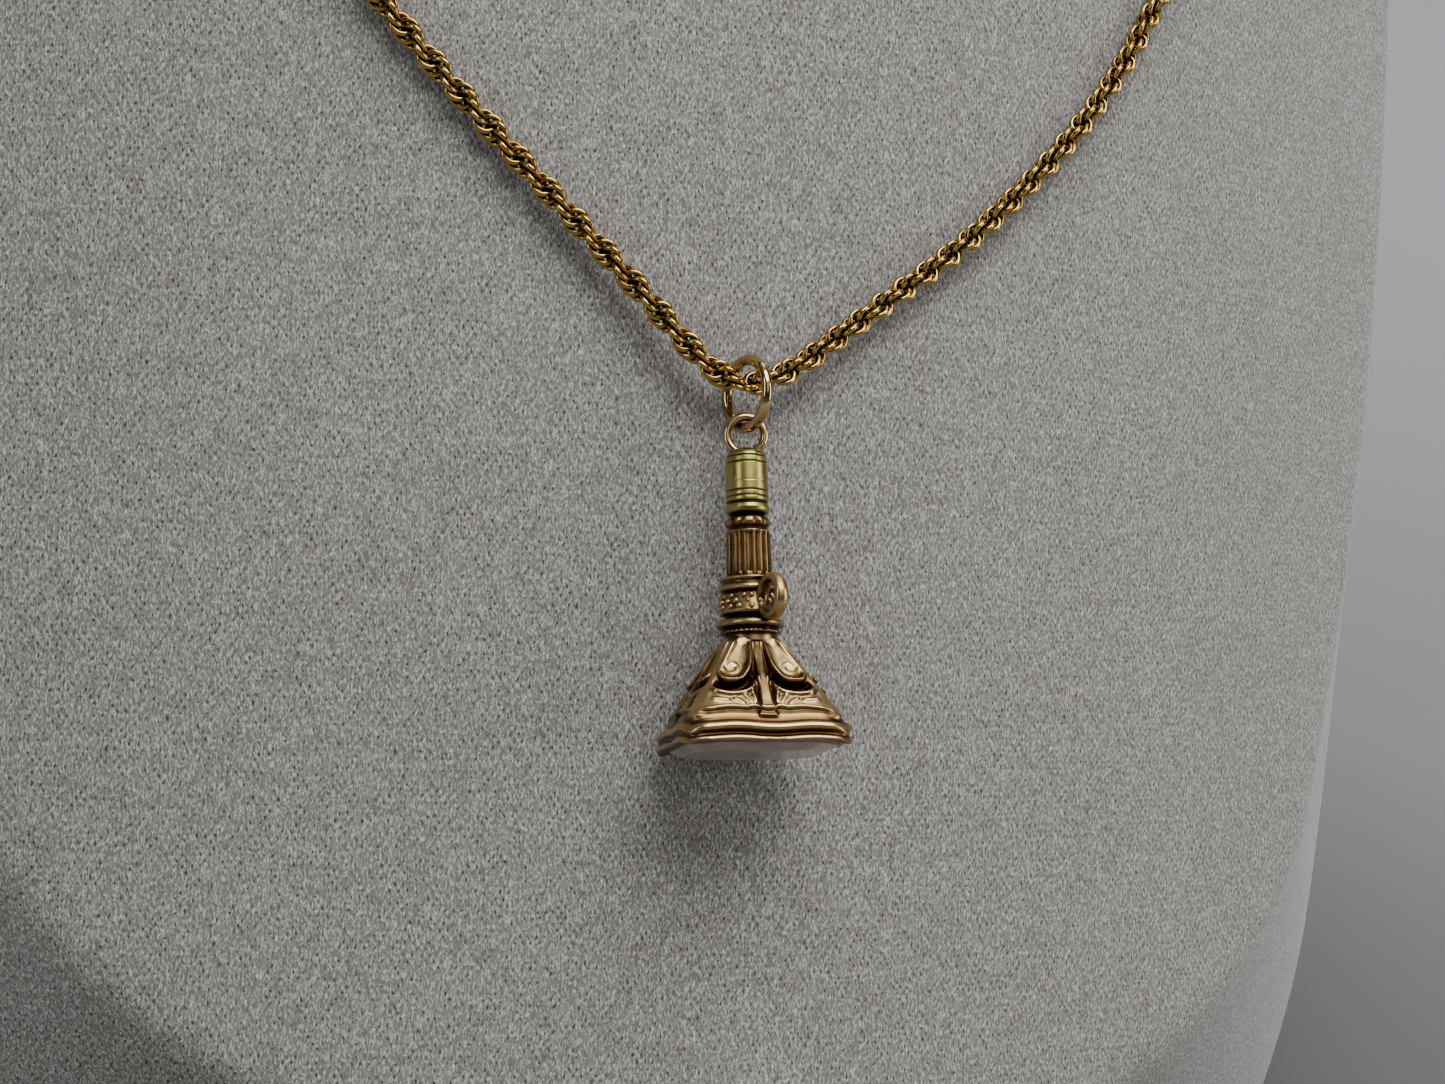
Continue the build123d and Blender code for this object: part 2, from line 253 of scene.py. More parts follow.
def new_material(name):
    material = bpy.data.materials.new(name)
    material.use_nodes = True
    return material, Graph(material.node_tree), material.node_tree.nodes["Principled BSDF"]


CREVICE_SAMPLES = 8
PATINA_AND_SHADE_SHARE = 0.72


def metal(name, bright, dark, roughness, crevice, grain_scale, grain_depth, tint=None):
    """Worn metal: bright colour, darker in the crevices from painted shade and patina, with a fine grain
    and small colour changes.
    """
    material, graph, shader = new_material(name)
    place = graph.place()
    occlusion = graph.add("ShaderNodeAmbientOcclusion", {"Distance": crevice}, samples=CREVICE_SAMPLES)
    patina_and_shade = graph.add("ShaderNodeAttribute", {}, attribute_name="patina_and_shade")
    cloud = graph.noise(place, scale=900, detail=3)
    # Painted shade, partly the patina old gold has in its hollows: the colour darkens where ambient
    # occlusion finds crevices and where the vertex attribute marks low places
    patina_and_shade_darkening = graph.math("MULTIPLY", patina_and_shade.outputs["Fac"], PATINA_AND_SHADE_SHARE)
    clear_of_patina_and_shade = graph.math("SUBTRACT", occlusion.outputs["AO"], patina_and_shade_darkening)
    stain = graph.span(cloud, (0.3, 0.7), (-0.05, 0.05))
    open_share = graph.math("ADD", clear_of_patina_and_shade, stain, clamp=True)
    middle = tuple(0.42 * b + 0.58 * d for b, d in zip(bright, dark))
    color = graph.ramp(open_share, [(0.24, dark), (0.58, middle), (0.88, bright)])
    if tint:
        patch = graph.noise(place, scale=260, detail=2)
        color = graph.mix(graph.span(patch, (0.42, 0.62), (0.0, 0.7)), color, tint, "MULTIPLY")
    graph.feed(shader, {"Metallic": 1.0, "Base Color": color,
                        "Roughness": graph.span(cloud, (0.3, 0.7), roughness)})
    graph.bump(shader, graph.noise(place, grain_scale, detail=4, rough=0.6), grain_depth)
    return material


def chalcedony():
    """Polished milky stone with faint cloudy bands."""
    material, graph, shader = new_material("chalcedony")
    cloud = graph.noise(graph.place(), scale=240, detail=5, rough=0.6)
    color = graph.ramp(cloud, [(0.3, (0.38, 0.29, 0.235)), (0.5, (0.53, 0.43, 0.36)),
                               (0.72, (0.66, 0.56, 0.49))])
    graph.feed(shader, {"Base Color": color, "Roughness": 0.12, "IOR": 1.54, "Subsurface Weight": 0.35,
                        "Subsurface Radius": (1.0, 0.8, 0.75), "Subsurface Scale": 1.2 * MM,
                        "Transmission Weight": 0.15})
    return material


HOLE_PITCH = (0.62 * MM, 0.94 * MM)
HOLE_EDGE = (0.035 * MM, 0.11 * MM)
HOLE_WEIGHTS = (1.0, 0.55)
HOLE_WANDER = (0.5 * MM, 0.7 * MM, 0)
SUEDE_DEPTH = 0.08 * MM


def suede():
    """Warm grey suede knit: rows of tiny pinholes under a short bright nap."""
    material, graph, shader = new_material("suede")
    level = graph.add("ShaderNodeMapping", {"Vector": graph.place(), "Rotation": (LEAN, 0, 0)})
    x, y, z = graph.axes(level.outputs[0])
    cloth = graph.add("ShaderNodeCombineXYZ", {"X": x, "Y": z, "Z": y}).outputs[0]

    def cloth_noise(x_scale, y_scale, detail, turned=0.0, rough=0.5):
        """Noise drawn out across or along the cloth."""
        inputs = {"Vector": cloth, "Scale": (x_scale, y_scale, x_scale), "Rotation": (0, 0, turned)}
        return graph.noise(graph.add("ShaderNodeMapping", inputs).outputs[0], 1.0, detail, rough)

    # Pinholes in a staggered lattice, pulled a little out of line, on the front and the back
    wander = graph.noise(cloth, scale=900, detail=2, output="Color")
    pulled = graph.add("ShaderNodeVectorMath", {0: wander, 1: HOLE_WANDER, 2: cloth},
                       operation="MULTIPLY_ADD")
    hole_axes = graph.axes(pulled.outputs[0])

    def lattice(shift):
        """Distance from the nearest lattice point, with holes longer than they are wide."""
        reach = []
        for axis, pitch, weight in zip("XY", HOLE_PITCH, HOLE_WEIGHTS):
            steps = graph.math("MULTIPLY", hole_axes[axis], 1 / pitch)
            share = graph.math("FRACT", graph.math("ADD", steps, shift))
            off = graph.math("MULTIPLY", graph.math("SUBTRACT", share, 0.5), pitch * weight)
            reach.append(graph.math("MULTIPLY", off, off))
        return graph.math("SQRT", graph.math("ADD", *reach))

    pit = graph.span(graph.math("MINIMUM", lattice(0.0), lattice(0.5)), HOLE_EDGE, (1.0, 0.0))
    shown = graph.span(cloth_noise(1500, 1100, detail=2), (0.4, 0.6))
    facing = graph.axes(graph.add("ShaderNodeNewGeometry", {}).outputs["Normal"])
    frontal = graph.span(graph.math("ABSOLUTE", facing["Y"]), (0.6, 0.8))
    hole = graph.math("MULTIPLY", pit, graph.math("MULTIPLY", shown, frontal), clamp=True)

    nap_right = cloth_noise(6400, 2600, detail=3, turned=0.5, rough=0.65)
    nap_left = cloth_noise(6400, 2600, detail=3, turned=-0.55, rough=0.65)
    nap = graph.math("MAXIMUM", nap_right, nap_left)
    rows = cloth_noise(500, 1400, detail=2, turned=0.08)
    mottle = cloth_noise(90, 60, detail=3, rough=0.6)

    fibre = graph.ramp(nap, [(0.44, (0.165, 0.158, 0.147)), (0.555, (0.268, 0.26, 0.244)),
                             (0.69, (0.68, 0.668, 0.645))])
    row_shade = graph.span(rows, (0.35, 0.65), (0.0, 0.5))
    striped = graph.mix(row_shade, fibre, (0.82, 0.81, 0.8), "MULTIPLY")
    mottle_shade = graph.span(mottle, (0.35, 0.65), (0.0, 0.4))
    mottled = graph.mix(mottle_shade, striped, (0.9, 0.88, 0.85), "MULTIPLY")
    color = graph.mix(graph.math("MULTIPLY", hole, 0.92), mottled, (0.035, 0.026, 0.02))
    graph.feed(shader, {"Base Color": color, "Roughness": 0.95, "Sheen Weight": 0.3,
                        "Sheen Roughness": 0.4, "Specular IOR Level": 0.15})
    height = graph.math("SUBTRACT", nap, graph.math("MULTIPLY", hole, 0.8))
    graph.bump(shader, height, SUEDE_DEPTH)
    return material


# Neck bust: the cloth cover is remeshed from the bust, so that its edges are soft and even

COVER_VOXEL = 1.15 * MM
SOFTEN_SHARE = 0.5
SOFTEN_ROUNDS = 4


def cover_bust(material):
    bust = NODES["neck_bust"]
    cover = new_object("bust_cover", bust.data.copy())
    remesh = cover.modifiers.new("remesh", "REMESH")
    remesh.mode = "VOXEL"
    remesh.voxel_size = COVER_VOXEL
    wrap = cover.modifiers.new("wrap", "SHRINKWRAP")
    wrap.target = bust
    wrap.wrap_method = "NEAREST_SURFACEPOINT"
    soften = cover.modifiers.new("soften", "SMOOTH")
    soften.factor = SOFTEN_SHARE
    soften.iterations = SOFTEN_ROUNDS
    mesh = final_mesh(cover)
    cover.modifiers.clear()
    cover.data = mesh
    mesh.materials.clear()
    mesh.materials.append(material)
    mesh.polygons.foreach_set("use_smooth", [True] * len(mesh.polygons))
    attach(cover, "stand")
    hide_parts("neck_bust")


# Rope chain: many small rings, each turned a little more about the chain's line than the last.
# Its routes are points across, up and out on the bust's front, in millimetres

CHAIN_WIDTH = 2.1
CHAIN_WIRE = 0.42
LINK_STEP = 0.63
LINK_WOBBLE = 0.04
LINK_SAMPLES = (26, 10)
ROUTE_SAMPLES = 60
ROUTES = {
    "chain_right": [(0.0, 0.3, 2.7), (2.4, 0.4, 2.7), (10.1, 6.2, 1.7), (21.5, 14.6, 0.6),
                    (33.6, 27.0, -1.6), (42.0, 41.2, -3.8), (51.8, 57.0, -6.9), (56.4, 66.8, -8.2),
                    (58.0, 73.6, -8.5), (58.1, 77.0, -12.6), (58.1, 76.4, -19.0), (58.3, 75.6, -31.0),
                    (57.9, 75.7, -47.5), (48.4, 75.6, -64.0), (32.0, 75.8, -73.4), (9.0, 76.4, -74.6)],
    "chain_left": [(0.0, 0.3, 2.7), (-2.2, 0.4, 2.7), (-8.1, 7.0, 1.1), (-17.0, 15.6, -0.5),
                   (-28.5, 27.8, -3.1), (-39.0, 42.6, -6.3), (-44.6, 57.0, -8.5), (-46.6, 66.8, -8.6),
                   (-47.0, 73.6, -8.5), (-47.1, 77.0, -12.6), (-47.1, 76.4, -19.0), (-47.3, 75.6, -31.0),
                   (-46.9, 75.7, -47.5), (-37.4, 75.6, -64.0), (-21.0, 75.8, -73.4), (2.0, 76.4, -74.6)],
}
# The length in which the rings turn half way round, and the first ring's angle
HALF_TURN = {"chain_right": 2.6, "chain_left": 3.15}
FIRST_TURN = {"chain_right": 0.4, "chain_left": -0.6}


def route_line(points):
    """Points close together along the smooth line of a route."""
    curve = bpy.data.curves.new("route", "CURVE")
    curve.dimensions = "3D"
    spline = curve.splines.new("NURBS")
    spline.points.add(len(points) - 1)
    for control, point in zip(spline.points, points):
        control.co = (*on_face(*point), 1)
    spline.order_u = 3
    spline.use_endpoint_u = True
    spline.resolution_u = ROUTE_SAMPLES
    holder = new_object("route", curve)
    line = final_mesh(holder)
    places = np.array([v.co for v in line.vertices])
    bpy.data.objects.remove(holder)
    bpy.data.curves.remove(curve)
    bpy.data.meshes.remove(line)
    return places


def evenly(line, step):
    """Places a step apart along the line, from half a step in, and the line's direction at each."""
    runs = np.linalg.norm(np.diff(line, axis=0), axis=1)
    reach = np.concatenate([[0], np.cumsum(runs)])
    stations = np.arange(step / 2, reach[-1], step)

    def along(distances):
        return np.stack([np.interp(distances, reach, line[:, axis]) for axis in range(3)], axis=1)

    tangents = along(stations + step / 2) - along(stations - step / 2)
    return along(stations), tangents / np.linalg.norm(tangents, axis=1)[:, None]


def add_chain(name, material):
    places, tangents = evenly(route_line(ROUTES[name]), LINK_STEP * MM)
    radius = (CHAIN_WIDTH - CHAIN_WIRE) / 2 * MM
    side = np.array(OUT)
    angle = FIRST_TURN[name]
    shape = Shape()
    for place, tangent in zip(places, tangents):
        side = side - tangent * side.dot(tangent)
        side /= np.linalg.norm(side)
        other = np.cross(tangent, side)
        twist, tilt = random.normal(0, LINK_WOBBLE, 2)
        turned = cos(angle + twist) * side + sin(angle + twist) * other
        along = tangent + tilt * np.cross(tangent, turned)
        along /= np.linalg.norm(along)
        link = ring_points(place, along, turned, radius, CHAIN_WIRE * MM, *LINK_SAMPLES)
        shape.add_grid(link, wrap_rows=True)
        angle += pi * LINK_STEP / HALF_TURN[name]
    piece = shape.piece(name.replace("chain_", "rope_"), material, "stand", "chain_gold")
    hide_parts(name)


# Jump ring: a round wire loop

RING_WIDTH = 6.1
RING_WIRE = 0.87
RING_TURN = radians(13)
RING_SAMPLES = (120, 28)


def add_jump_ring(material):
    foot = Vector(JOINTS["seal_sway"]["pos_m"])
    radius = (RING_WIDTH - RING_WIRE) / 2 * MM
    along = sin(RING_TURN) * ACROSS + cos(RING_TURN) * OUT
    loop = ring_points(foot + radius * UP, along, UP, radius, RING_WIRE * MM, *RING_SAMPLES)
    shape = Shape()
    shape.add_grid(loop, wrap_rows=True)
    piece = shape.piece("jump_ring_wire", material, "ring", "ring_gold")
    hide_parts("jump_ring")


# Seal: every level is down its axis from the middle of the bail's hole

BAIL_HOLE = 2.2
BAIL_WIRE = 0.66
BAIL_GAP = 0.15
BAIL_TURN = radians(-21)
BAIL_SAMPLES = (96, 24)
SEAL_TURN = radians(-9)
LOOP_TURN = radians(7)


def stone_normal():
    """The seal's axis, downward: square to the largest face of its stone."""
    mesh = NODES["seal_stone"].data
    widest = max(mesh.polygons, key=lambda polygon: polygon.area)
    normal = widest.normal.copy()
    return normal if normal.z < 0 else -normal


DOWN = stone_normal()
BAIL = Vector(JOINTS["seal_sway"]["pos_m"]) + (BAIL_HOLE - RING_WIRE - 2 * BAIL_GAP) / 2 * MM * DOWN
SEAL_SIDE = -DOWN.cross(ACROSS)


def spun(angle):
    """Across and front directions, turned about the seal's axis."""
    across = cos(angle) * ACROSS + sin(angle) * SEAL_SIDE
    back = -sin(angle) * ACROSS + cos(angle) * SEAL_SIDE
    return across, -back


def on_seal(across, front, down):
    """Arrays of places in the seal's own frame, in millimetres, as points."""
    side, ahead = spun(SEAL_TURN)
    return (np.array(BAIL) + MM * (np.asarray(across)[..., None] * np.array(side)
                                   + np.asarray(front)[..., None] * np.array(ahead)
                                   + np.asarray(down)[..., None] * np.array(DOWN)))


LOW_DEPTH = 0.22


def lathe(shape, downs, radii, segments, ripple=None, reach=(6, 4), dull=0.0):
    """A turned surface. ripple(angle, down) adds to the radius. What lies low within reach, in rows
    and columns, is darker: patina, and painted shade in the hollows."""
    angle = turn(segments)[None, :]
    downs = np.asarray(downs, float)[:, None]
    radii = np.asarray(radii, float)[:, None] + np.zeros_like(angle)
    if ripple is not None:
        radii = radii + ripple(angle, downs)
    points = on_seal(radii * np.cos(angle), radii * np.sin(angle), downs + 0 * angle)
    # Painted shade and patina: low places are darker
    patina_and_shade = np.clip(recess(radii, *reach, LOW_DEPTH) + dull, 0, 1)
    shape.add_grid(points[:, ::-1], start_cap=True, end_cap=True, patina_and_shade=patina_and_shade[:, ::-1])


def profile(rows, step):
    """Levels and radii of a turned outline: straight between its rows, sampled every step."""
    downs = np.array([row[0] for row in rows])
    radii = np.array([row[1] for row in rows])
    reach = np.concatenate([[0], np.cumsum(np.hypot(np.diff(downs), np.diff(radii)))])
    stations = np.linspace(0, reach[-1], int(reach[-1] / step) + 1)
    return np.interp(stations, reach, downs), np.interp(stations, reach, radii)


def grooves(downs, radii, marks):
    """Cuts rounded grooves, each at a level with a depth and a half width."""
    for level, depth, half in marks:
        radii = radii - depth * np.exp(-((downs - level) / half) ** 2)
    return radii


# Rows of level and radius
CAP_ROWS = [(1.15, 0.02), (1.17, 0.9), (1.26, 1.2), (1.4, 1.37), (1.6, 1.48), (1.8, 1.54), (2.2, 1.57),
            (2.35, 1.6), (4.3, 1.62), (5.2, 1.63), (5.32, 1.58), (5.45, 1.57), (5.55, 1.65),
            (5.8, 1.69), (6.02, 1.64), (6.15, 1.5), (6.24, 1.32), (6.3, 1.1), (6.3, 0.02)]
CAP_GROOVES = [(1.8, 0.1, 0.05), (2.29, 0.1, 0.05), (3.75, 0.018, 0.03), (4.47, 0.1, 0.05),
               (4.9, 0.09, 0.05), (5.36, 0.1, 0.08)]
CAP_STEP = 0.03
CAP_SEGMENTS = 96
GROOVED_FROM = 1.2


def add_cap(material):
    shape = Shape()
    downs, radii = profile(CAP_ROWS, CAP_STEP)
    radii = np.where(radii > GROOVED_FROM, grooves(downs, radii, CAP_GROOVES), radii)
    lathe(shape, downs, radii, CAP_SEGMENTS)
    piece = shape.piece("cap_shell", material, "seal", "cap_gold")
    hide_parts("seal_cap")


def add_bail(material):
    across, _ = spun(BAIL_TURN)
    radius = (BAIL_HOLE + BAIL_WIRE) / 2 * MM
    shape = Shape()
    shape.add_grid(ring_points(BAIL, across, DOWN, radius, BAIL_WIRE * MM, *BAIL_SAMPLES), wrap_rows=True)
    piece = shape.piece("bail_loop", material, "seal", "ring_gold")
    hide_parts("seal_cap")


# Stem of the seal: bead ring, fluted column, collar, pebbled drum and lower collar

STEM_ROWS = [(6.35, 0.02), (6.35, 1.3), (6.42, 1.45), (6.6, 1.6), (6.85, 1.66), (7.1, 1.62),
             (7.3, 1.46), (7.42, 1.42), (7.46, 1.58), (7.6, 1.7), (10.9, 1.76), (11.03, 1.7),
             (11.07, 2.05), (11.12, 2.22), (11.22, 2.28), (11.33, 2.22), (11.45, 2.12), (11.6, 2.12),
             (11.75, 2.24), (11.95, 2.3), (12.1, 2.22), (12.18, 2.05), (12.26, 1.9), (12.34, 1.96),
             (13.0, 2.1), (13.7, 2.28), (13.9, 2.2), (14.02, 1.85), (14.12, 1.75), (14.24, 2.1),
             (14.34, 2.42), (14.5, 2.56), (14.7, 2.58), (14.88, 2.44), (15.0, 2.12), (15.08, 2.1),
             (15.18, 2.24), (15.32, 2.26), (15.42, 2.02), (16.0, 2.0), (16.0, 0.02)]
STEM_STEP = 0.05
STEM_SEGMENTS = 144
STEM_REACH = (5, 8)
STEM_DULL = 0.16
BEAD_LEVEL = 6.85
COLUMN_TOP = 7.6
COLUMN_FOOT = 10.98
COLUMN_FADE = 0.25
COLLAR_LEVEL = 15.25
FLUTES = 9
FLUTE_TURN = radians(8)


def stem_ripple(angle, down):
    """Reeds with a thin fillet between each two, on the column, and lumps on the bead ring and the
    lower collar."""
    on_column = (np.clip((down - COLUMN_TOP) / COLUMN_FADE, 0, 1)
                 * np.clip((COLUMN_FOOT - down) / COLUMN_FADE, 0, 1))
    share = ((angle - FLUTE_TURN) * FLUTES / (2 * pi)) % 1.0
    fillet = np.minimum(share, 1 - share)
    reed = 0.2 * np.exp(-(fillet / 0.075) ** 2) + 0.1 * np.exp(-((fillet - 0.5) / 0.27) ** 2) - 0.2
    on_bead = np.exp(-((down - BEAD_LEVEL) / 0.28) ** 2)
    bead = 0.06 * on_bead * (np.sin(11 * angle + 1.3) + 0.6 * np.sin(17 * angle))
    on_collar = np.exp(-((down - COLLAR_LEVEL) / 0.1) ** 2)
    collar = 0.06 * on_collar * np.sin(36 * angle)
    return reed * np.sqrt(on_column) + bead + collar


PEBBLE_LEVELS = (12.58, 13.0, 13.42)
PEBBLES = 15
PEBBLE_SIZE = 0.22
PEBBLE_SCATTER = 0.04
PEBBLE_TURN = 0.05
PEBBLE_SAMPLES = (9, 12)
DRUM_TOP = 12.34
DRUM_RADIUS = 1.94
DRUM_FLARE = 0.23


def add_pebbles(shape):
    """Small round grains in rows round the drum."""
    rows, columns = PEBBLE_SAMPLES
    tilt = turn(columns)[None, :]
    rise = np.linspace(-pi / 2 + 0.01, pi / 2 - 0.01, rows)[:, None]
    for row, level in enumerate(PEBBLE_LEVELS):
        out = DRUM_RADIUS + (level - DRUM_TOP) * DRUM_FLARE
        for count in range(PEBBLES):
            angle = 2 * pi * (count + 0.5 * (row % 2)) / PEBBLES + random.normal(0, PEBBLE_TURN)
            size = PEBBLE_SIZE + random.normal(0, PEBBLE_SCATTER)
            radial = out + size * np.cos(rise) * np.cos(tilt)
            sideways = size * np.cos(rise) * np.sin(tilt)
            down = level + size * np.sin(rise) + 0 * tilt
            grain = on_seal(radial * cos(angle) - sideways * sin(angle),
                            radial * sin(angle) + sideways * cos(angle), down)
            shape.add_grid(grain, start_cap=True, end_cap=True)


LOOP_WIDTH = 3.6
LOOP_HOLE = 2.15
LOOP_BAND = 1.05
LOOP_LEVEL = 12.9
LOOP_OUT = 3.35
LOOP_SAMPLES = (64, 24)
LOOP_INNER_SHADE = 0.75


def add_loop(shape):
    """The side loop: a flat band, with painted shade on its inner face."""
    _, ahead = spun(LOOP_TURN)
    centre = BAIL + MM * (LOOP_LEVEL * DOWN + LOOP_OUT * ahead)
    radius = (LOOP_WIDTH + LOOP_HOLE) / 4 * MM
    wire = (LOOP_WIDTH - LOOP_HOLE) / 2 * MM
    band = ring_points(centre, ahead, DOWN, radius, wire, *LOOP_SAMPLES, flat=LOOP_BAND * MM / wire)
    # Painted shade: the inside of the band is darkened, as the hollow lies in shadow
    inner_shade = LOOP_INNER_SHADE * np.clip(-np.cos(turn(LOOP_SAMPLES[1])), 0, 1)[None, :]
    shape.add_grid(band, wrap_rows=True, patina_and_shade=inner_shade)


# Skirt: a four-sided pyramid with cast relief on each face, and a stepped base

SKIRT_START = 15.6
SKIRT_END = 21.8
BASE_END = 23.8
# Half widths across and in depth, and corner radii, at the top and the foot of the slope
TOP_HALF = (1.95, 1.7)
LOW_HALF = (6.08, 5.13)
TOP_CORNER = 1.4
LOW_CORNER = 2.1
FACE_SAMPLES = 124
CORNER_SAMPLES = 16
SLOPE_ROWS = 112
# Rows of level under the skirt and distance out from it
BASE_PROFILE = [(0.0, 0.0), (0.3, -0.08), (0.5, -0.02), (0.6, 0.26), (0.74, 0.44), (0.95, 0.52),
                (1.12, 0.46), (1.24, 0.28), (1.36, 0.16), (1.5, 0.16), (1.58, 0.3), (1.68, 0.44),
                (1.84, 0.5), (1.94, 0.4), (2.0, 0.2)]
BASE_STEP = 0.055
# Height, size and seed of each kind of unevenness left by the casting
CAST_LUMPS = [(0.024, 0.6, 3), (0.007, 0.2, 4)]
RELIEF_FADE = 0.35
RELIEF_LEAN = 0.48
RELIEF_REACH = (8, 4)
RELIEF_DEPTH = 0.42
EDGE_WAVE = 0.07
FOOT_DROP = 0.2
# The pocket that holds the stone: its lip's level and width, the lip's bevel and its own depth
LIP_LEVEL = BASE_END - 0.02
LIP_INSET = 0.25
POCKET_INSET = 0.33
POCKET_BEVEL = 0.1
POCKET_LEVEL = BASE_END - 1.1


def ridge(distance, half):
    return np.exp(-(distance / half) ** 2)


def to_line(x, y, points):
    """Distance from each place to a line of points."""
    nearest = np.full(x.shape, 1e9)
    for (ax, ay), (bx, by) in zip(points, points[1:]):
        run_x, run_y = bx - ax, by - ay
        if run_x == run_y == 0:
            continue
        share = np.clip(((x - ax) * run_x + (y - ay) * run_y) / (run_x ** 2 + run_y ** 2), 0, 1)
        nearest = np.minimum(nearest, np.hypot(x - ax - share * run_x, y - ay - share * run_y))
    return nearest


def inside(x, y, points):
    """True within a closed line of points."""
    result = np.zeros(x.shape, bool)
    for (ax, ay), (bx, by) in zip(points, points[1:] + points[:1]):
        if ay == by:
            continue
        crosses = (ay > y) != (by > y)
        result ^= crosses & (x < (bx - ax) * (y - ay) / (by - ay) + ax)
    return result


LINE_STEPS = 6


def smooth_line(points, closed=False):
    """A smooth line through a few points."""
    points = np.array(points)
    if closed:
        points = np.concatenate([points[-1:], points, points[:2]])
    else:
        points = np.concatenate([2 * points[:1] - points[1:2], points, 2 * points[-1:] - points[-2:-1]])
    line = []
    for before, start, end, after in zip(points, points[1:], points[2:], points[3:]):
        for t in np.arange(LINE_STEPS) / LINE_STEPS:
            square = (2 * before - 5 * start + 4 * end - after) * t ** 2
            cube = (3 * start - before - 3 * end + after) * t ** 3
            line.append(0.5 * (2 * start + (end - before) * t + square + cube))
    line.append(points[-2])
    return [(float(x), float(y)) for x, y in line]


# Lines of the ornament on half a face: across from its middle and down its slope
LOBE = smooth_line([(0.5, 0.3), (0.52, 1.1), (0.66, 2.1), (0.92, 3.0), (1.5, 3.9), (2.35, 4.15),
                    (3.05, 3.95), (3.2, 3.2), (2.62, 2.1), (1.95, 0.95), (1.3, 0.1)], closed=True)
SLOT = smooth_line([(0.95, 3.7), (1.4, 4.2), (2.0, 4.5), (2.8, 4.62), (3.5, 4.4)])
BAND = smooth_line([(0.45, 3.8), (0.75, 4.55), (1.4, 5.05), (2.5, 5.27), (3.5, 5.05), (4.0, 4.5),
                    (3.85, 3.7), (3.35, 2.7), (2.6, 1.5), (1.9, 0.4)])
SCROLL = smooth_line([(2.9, 2.1), (3.05, 2.75), (2.6, 3.35), (1.95, 3.25), (1.75, 2.75), (2.15, 2.45),
                      (2.45, 2.7)])
VEINS = [[(0.7, 5.95), (1.0, 4.95)], [(1.15, 6.0), (1.55, 5.4)], [(1.75, 6.15), (2.3, 5.75)],
         [(4.3, 5.2), (4.75, 5.75)], [(2.9, 5.85), (3.9, 5.75)]]
# Each rounded line with its height, below zero for a cut, and its half width
ORNAMENT = [(SCROLL, 0.075, 0.17), (SLOT, -0.5, 0.22), (BAND, 0.26, 0.2)]
ORNAMENT += [(vein, 0.11, 0.16) for vein in VEINS]
RIM_HEIGHT = 0.27
RIM_HALF = 0.17
BOWL_DEPTH = 0.22
BOWL_REACH = 0.45
MOAT_DEPTH = 0.26
MOAT_REACH = 0.4
STALK_HALF = 0.3
STALK_HEIGHT = 0.12
STALK_DULL = 0.34
STALK_SPREAD = 5.7
LEAF_EDGE = 6.58
BELOW_DEPTH = 0.17
BELOW_DULL = 0.12
FOOT_HOLLOW = 0.5
FOOT_HOLLOW_LEVEL = 6.0


def soft_step(share):
    share = np.clip(share, 0, 1)
    return share * share * (3 - 2 * share)


def relief(x, s, corner_gap, side_face):
    """Height and dullness of the cast ornament at x across and s down the slope of one face."""
    across = np.abs(x)
    # Flat stalk up the middle, spreading at its foot, with a dark line each side
    stalk_half = STALK_HALF + 0.022 * s + 0.25 * np.clip((s - STALK_SPREAD) / 1.3, 0, 1) ** 2
    stalk = soft_step((stalk_half + 0.06 - across) / 0.14)
    cut = 0.2 * ridge(across - stalk_half - 0.16, 0.13) * soft_step((6.6 - s) / 0.8)
    height = STALK_HEIGHT * stalk - cut
    # Lobe: a rim round a bowl, with a moat outside it
    gap = to_line(across, s, LOBE)
    height += RIM_HEIGHT * ridge(gap, RIM_HALF)
    bowl = -BOWL_DEPTH * (1 - np.exp(-(gap / BOWL_REACH) ** 1.5))
    moat = -MOAT_DEPTH * gap / MOAT_REACH * np.exp(1 - gap / MOAT_REACH)
    height += np.where(inside(across, s, LOBE), bowl, moat)
    # Scroll in the bowl, slot beneath it, band round the lobe, and the leaf's short veins
    for line, rise, half in ORNAMENT:
        height += rise * ridge(to_line(across, s, line), half)
    # The leaf's thin lower edge, and the plain low metal below it
    edge = LEAF_EDGE + 0.1 * np.sin(1.5 * across + 0.8) - 0.25 * ridge(across - 0.9, 0.5)
    height += 0.1 * ridge(s - edge + 0.1, 0.13)
    below = soft_step((s - edge) / 0.18)
    height -= BELOW_DEPTH * below
    dull = STALK_DULL * stalk * soft_step((6.9 - s) / 0.6) + BELOW_DULL * below
    # Smooth corners, with a dark hollow at the foot on the side faces
    height *= soft_step((corner_gap - 0.05) / (0.3 + 0.1 * s))
    height += 0.06 * ridge(corner_gap, 0.6) * np.clip(s / 1.8, 0, 1)
    height -= FOOT_HOLLOW * side_face * ridge(corner_gap - 1.1, 0.28) * ridge(s - FOOT_HOLLOW_LEVEL, 0.6)
    return height * soft_step(s / 0.9), dull


